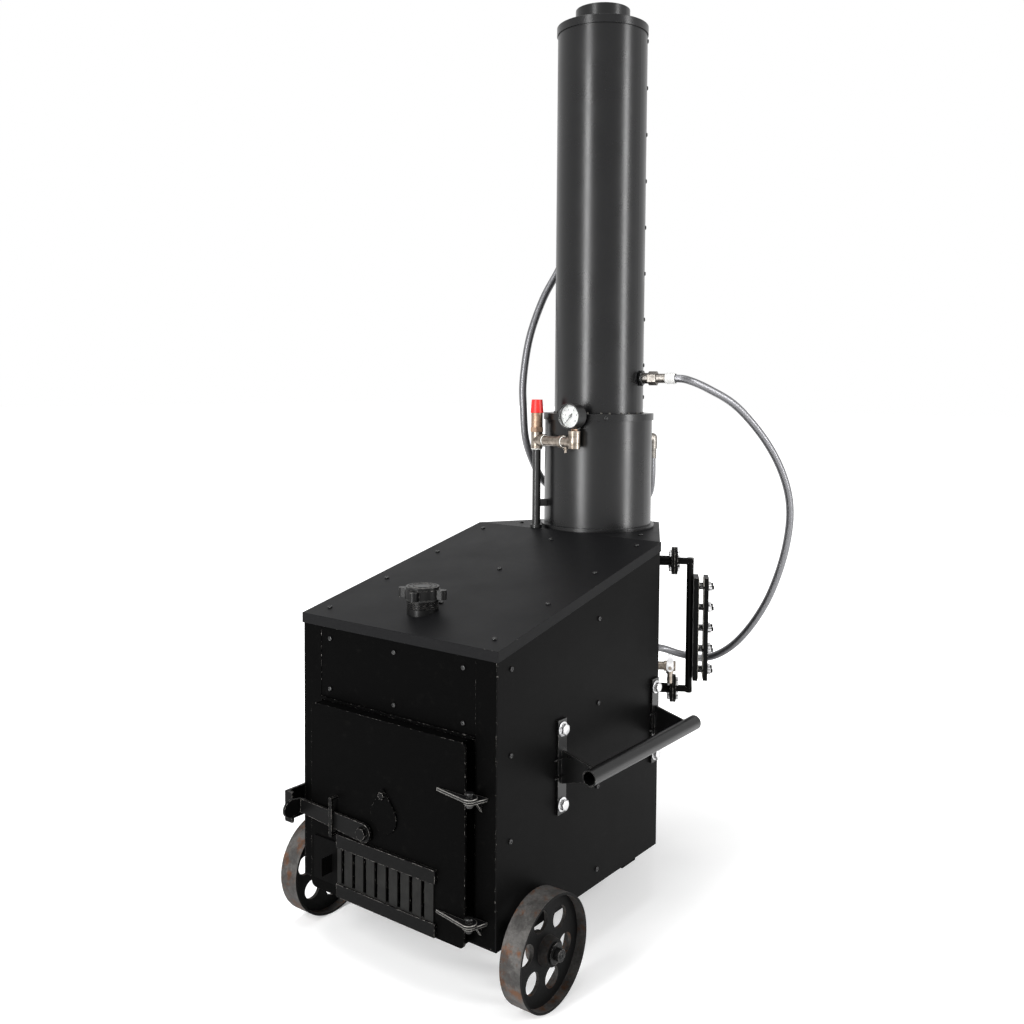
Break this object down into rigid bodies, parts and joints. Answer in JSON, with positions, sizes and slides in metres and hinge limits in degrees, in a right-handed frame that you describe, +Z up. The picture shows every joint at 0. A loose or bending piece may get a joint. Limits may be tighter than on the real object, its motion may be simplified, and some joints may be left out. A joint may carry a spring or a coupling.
{
  "type": "wood-fired steam generator",
  "caption": "Wood-fired boiler cabinet on wheels with a sloping lid, hinged fire door with damper and latch, jacketed chimney, pressure and level gauges, and hoses.",
  "frame": {"origin": "on the ground, under the middle of the box around all rigid pieces", "axes": "+Z up along the chimney; -Y out of the fire door at the front; +X to the right side seen from the front"},
  "size_m": [0.786, 1.2073, 2.198],
  "materials": {
    "casing_steel": "satin black paint",
    "black_steel": "satin black paint with worn edges",
    "worn_steel": "worn bare steel",
    "burnt_steel": "burnt and rusty",
    "bright_steel": "bright zinc",
    "valve_brass": "satin",
    "red_plastic": "glossy",
    "white_plastic": "matt",
    "needle_black": "matt",
    "clear_glass": "clear",
    "hose_rubber": "grey braided cover"
  },
  "bodies": {
    "cabinet": {"floor_panel": "casing_steel", "front_upper_panel": "casing_steel", "left_side_panel": "casing_steel", "right_side_panel": "casing_steel", "rear_casing": "casing_steel", "lid": "casing_steel", "rear_top_plate": "casing_steel", "lower_jacket": "casing_steel", "chimney_shell": "casing_steel", "base_frame": "black_steel", "front_plate": "black_steel", "latch_catch": "black_steel", "rear_legs": "black_steel", "axle_brackets": "black_steel", "chimney_cap": "black_steel", "boiler_tank": "black_steel", "riser_pipe": "black_steel", "level_gauge_pipes": "black_steel", "level_gauge_frame": "black_steel", "flue_pipe": "black_steel", "filler_neck": "black_steel", "left_handle": "black_steel", "right_handle": "black_steel", "post_lugs": "black_steel", "level_gauge_cover": "black_steel", "preheater_vessel": "worn_steel", "axle": "worn_steel", "axle_washers": "worn_steel", "ash_pan": "worn_steel", "firebox": "burnt_steel", "fire_grate": "burnt_steel", "casing_screws": "bright_steel", "handle_bolts": "bright_steel", "hinge_pins": "bright_steel", "header_fittings": "bright_steel", "gauge_case": "bright_steel", "hose_fittings": "bright_steel", "safety_valve_body": "valve_brass", "drain_valve_body": "valve_brass", "gauge_dial": "white_plastic", "hose_sleeve": "white_plastic", "gauge_lens": "clear_glass", "level_glass": "clear_glass", "supply_hose": "hose_rubber", "return_hose": "hose_rubber"},
    "door": {"fire_door": "black_steel", "door_baffle": "burnt_steel", "door_lugs": "black_steel", "door_rails": "black_steel", "door_bolts": "bright_steel"},
    "latch": {"latch_lever": "black_steel"},
    "peephole": {"peephole_cover": "black_steel"},
    "damper": {"damper_slider": "black_steel"},
    "wheel_left": {"left_wheel": "black_steel"},
    "wheel_right": {"right_wheel": "black_steel"},
    "gasket": {"filler_gasket": "bright_steel"},
    "cap": {"filler_cap": "black_steel"},
    "needle": {"gauge_needle": "needle_black"},
    "safety_knob": {"safety_cap": "red_plastic"},
    "drain_handle": {"drain_lever": "bright_steel"}
  },
  "joints": [
    {"name": "door_hinge", "type": "hinge", "parent": "cabinet", "child": "door", "pos_m": [0.23, -0.4725, 0.336], "axis": [0, 0, 1], "range_deg": [0, 110]},
    {"name": "latch_pivot", "type": "hinge", "parent": "door", "child": "latch", "pos_m": [-0.049, -0.4805, 0.302], "axis": [0, 1, 0], "range_deg": [0, 14]},
    {"name": "peephole_swing", "type": "hinge", "parent": "door", "child": "peephole", "pos_m": [0, -0.4735, 0.392], "axis": [0, 1, 0], "range_deg": [-70, 70]},
    {"name": "damper_slide", "type": "slide", "parent": "door", "child": "damper", "axis": [-1, 0, 0], "range_m": [0, 0.012]},
    {"name": "left_wheel_spin", "type": "hinge", "parent": "cabinet", "child": "wheel_left", "pos_m": [-0.315, -0.3385, 0.115], "axis": [1, 0, 0], "continuous": true},
    {"name": "right_wheel_spin", "type": "hinge", "parent": "cabinet", "child": "wheel_right", "pos_m": [0.315, -0.3385, 0.115], "axis": [1, 0, 0], "continuous": true},
    {"name": "gasket_lift", "type": "slide", "parent": "cabinet", "child": "gasket", "axis": [0, 0, 1], "range_m": [0, 0.06]},
    {"name": "cap_turn", "type": "hinge", "parent": "gasket", "child": "cap", "pos_m": [-0.011, -0.3415, 0.786], "axis": [0, 0, 1], "continuous": true},
    {"name": "needle_pivot", "type": "hinge", "parent": "cabinet", "child": "needle", "pos_m": [0.037, 0.1455, 1.16], "axis": [0, 1, 0], "range_deg": [0, 265]},
    {"name": "safety_cap_turn", "type": "hinge", "parent": "cabinet", "child": "safety_knob", "pos_m": [-0.102, 0.1985, 1.181], "axis": [0, 0, 1], "range_deg": [0, 90]},
    {"name": "drain_turn", "type": "hinge", "parent": "cabinet", "child": "drain_handle", "pos_m": [0.28241, 0.22244, 0.557], "axis": [-0.4964, 0.8681, 0], "range_deg": [0, 90]}
  ]
}
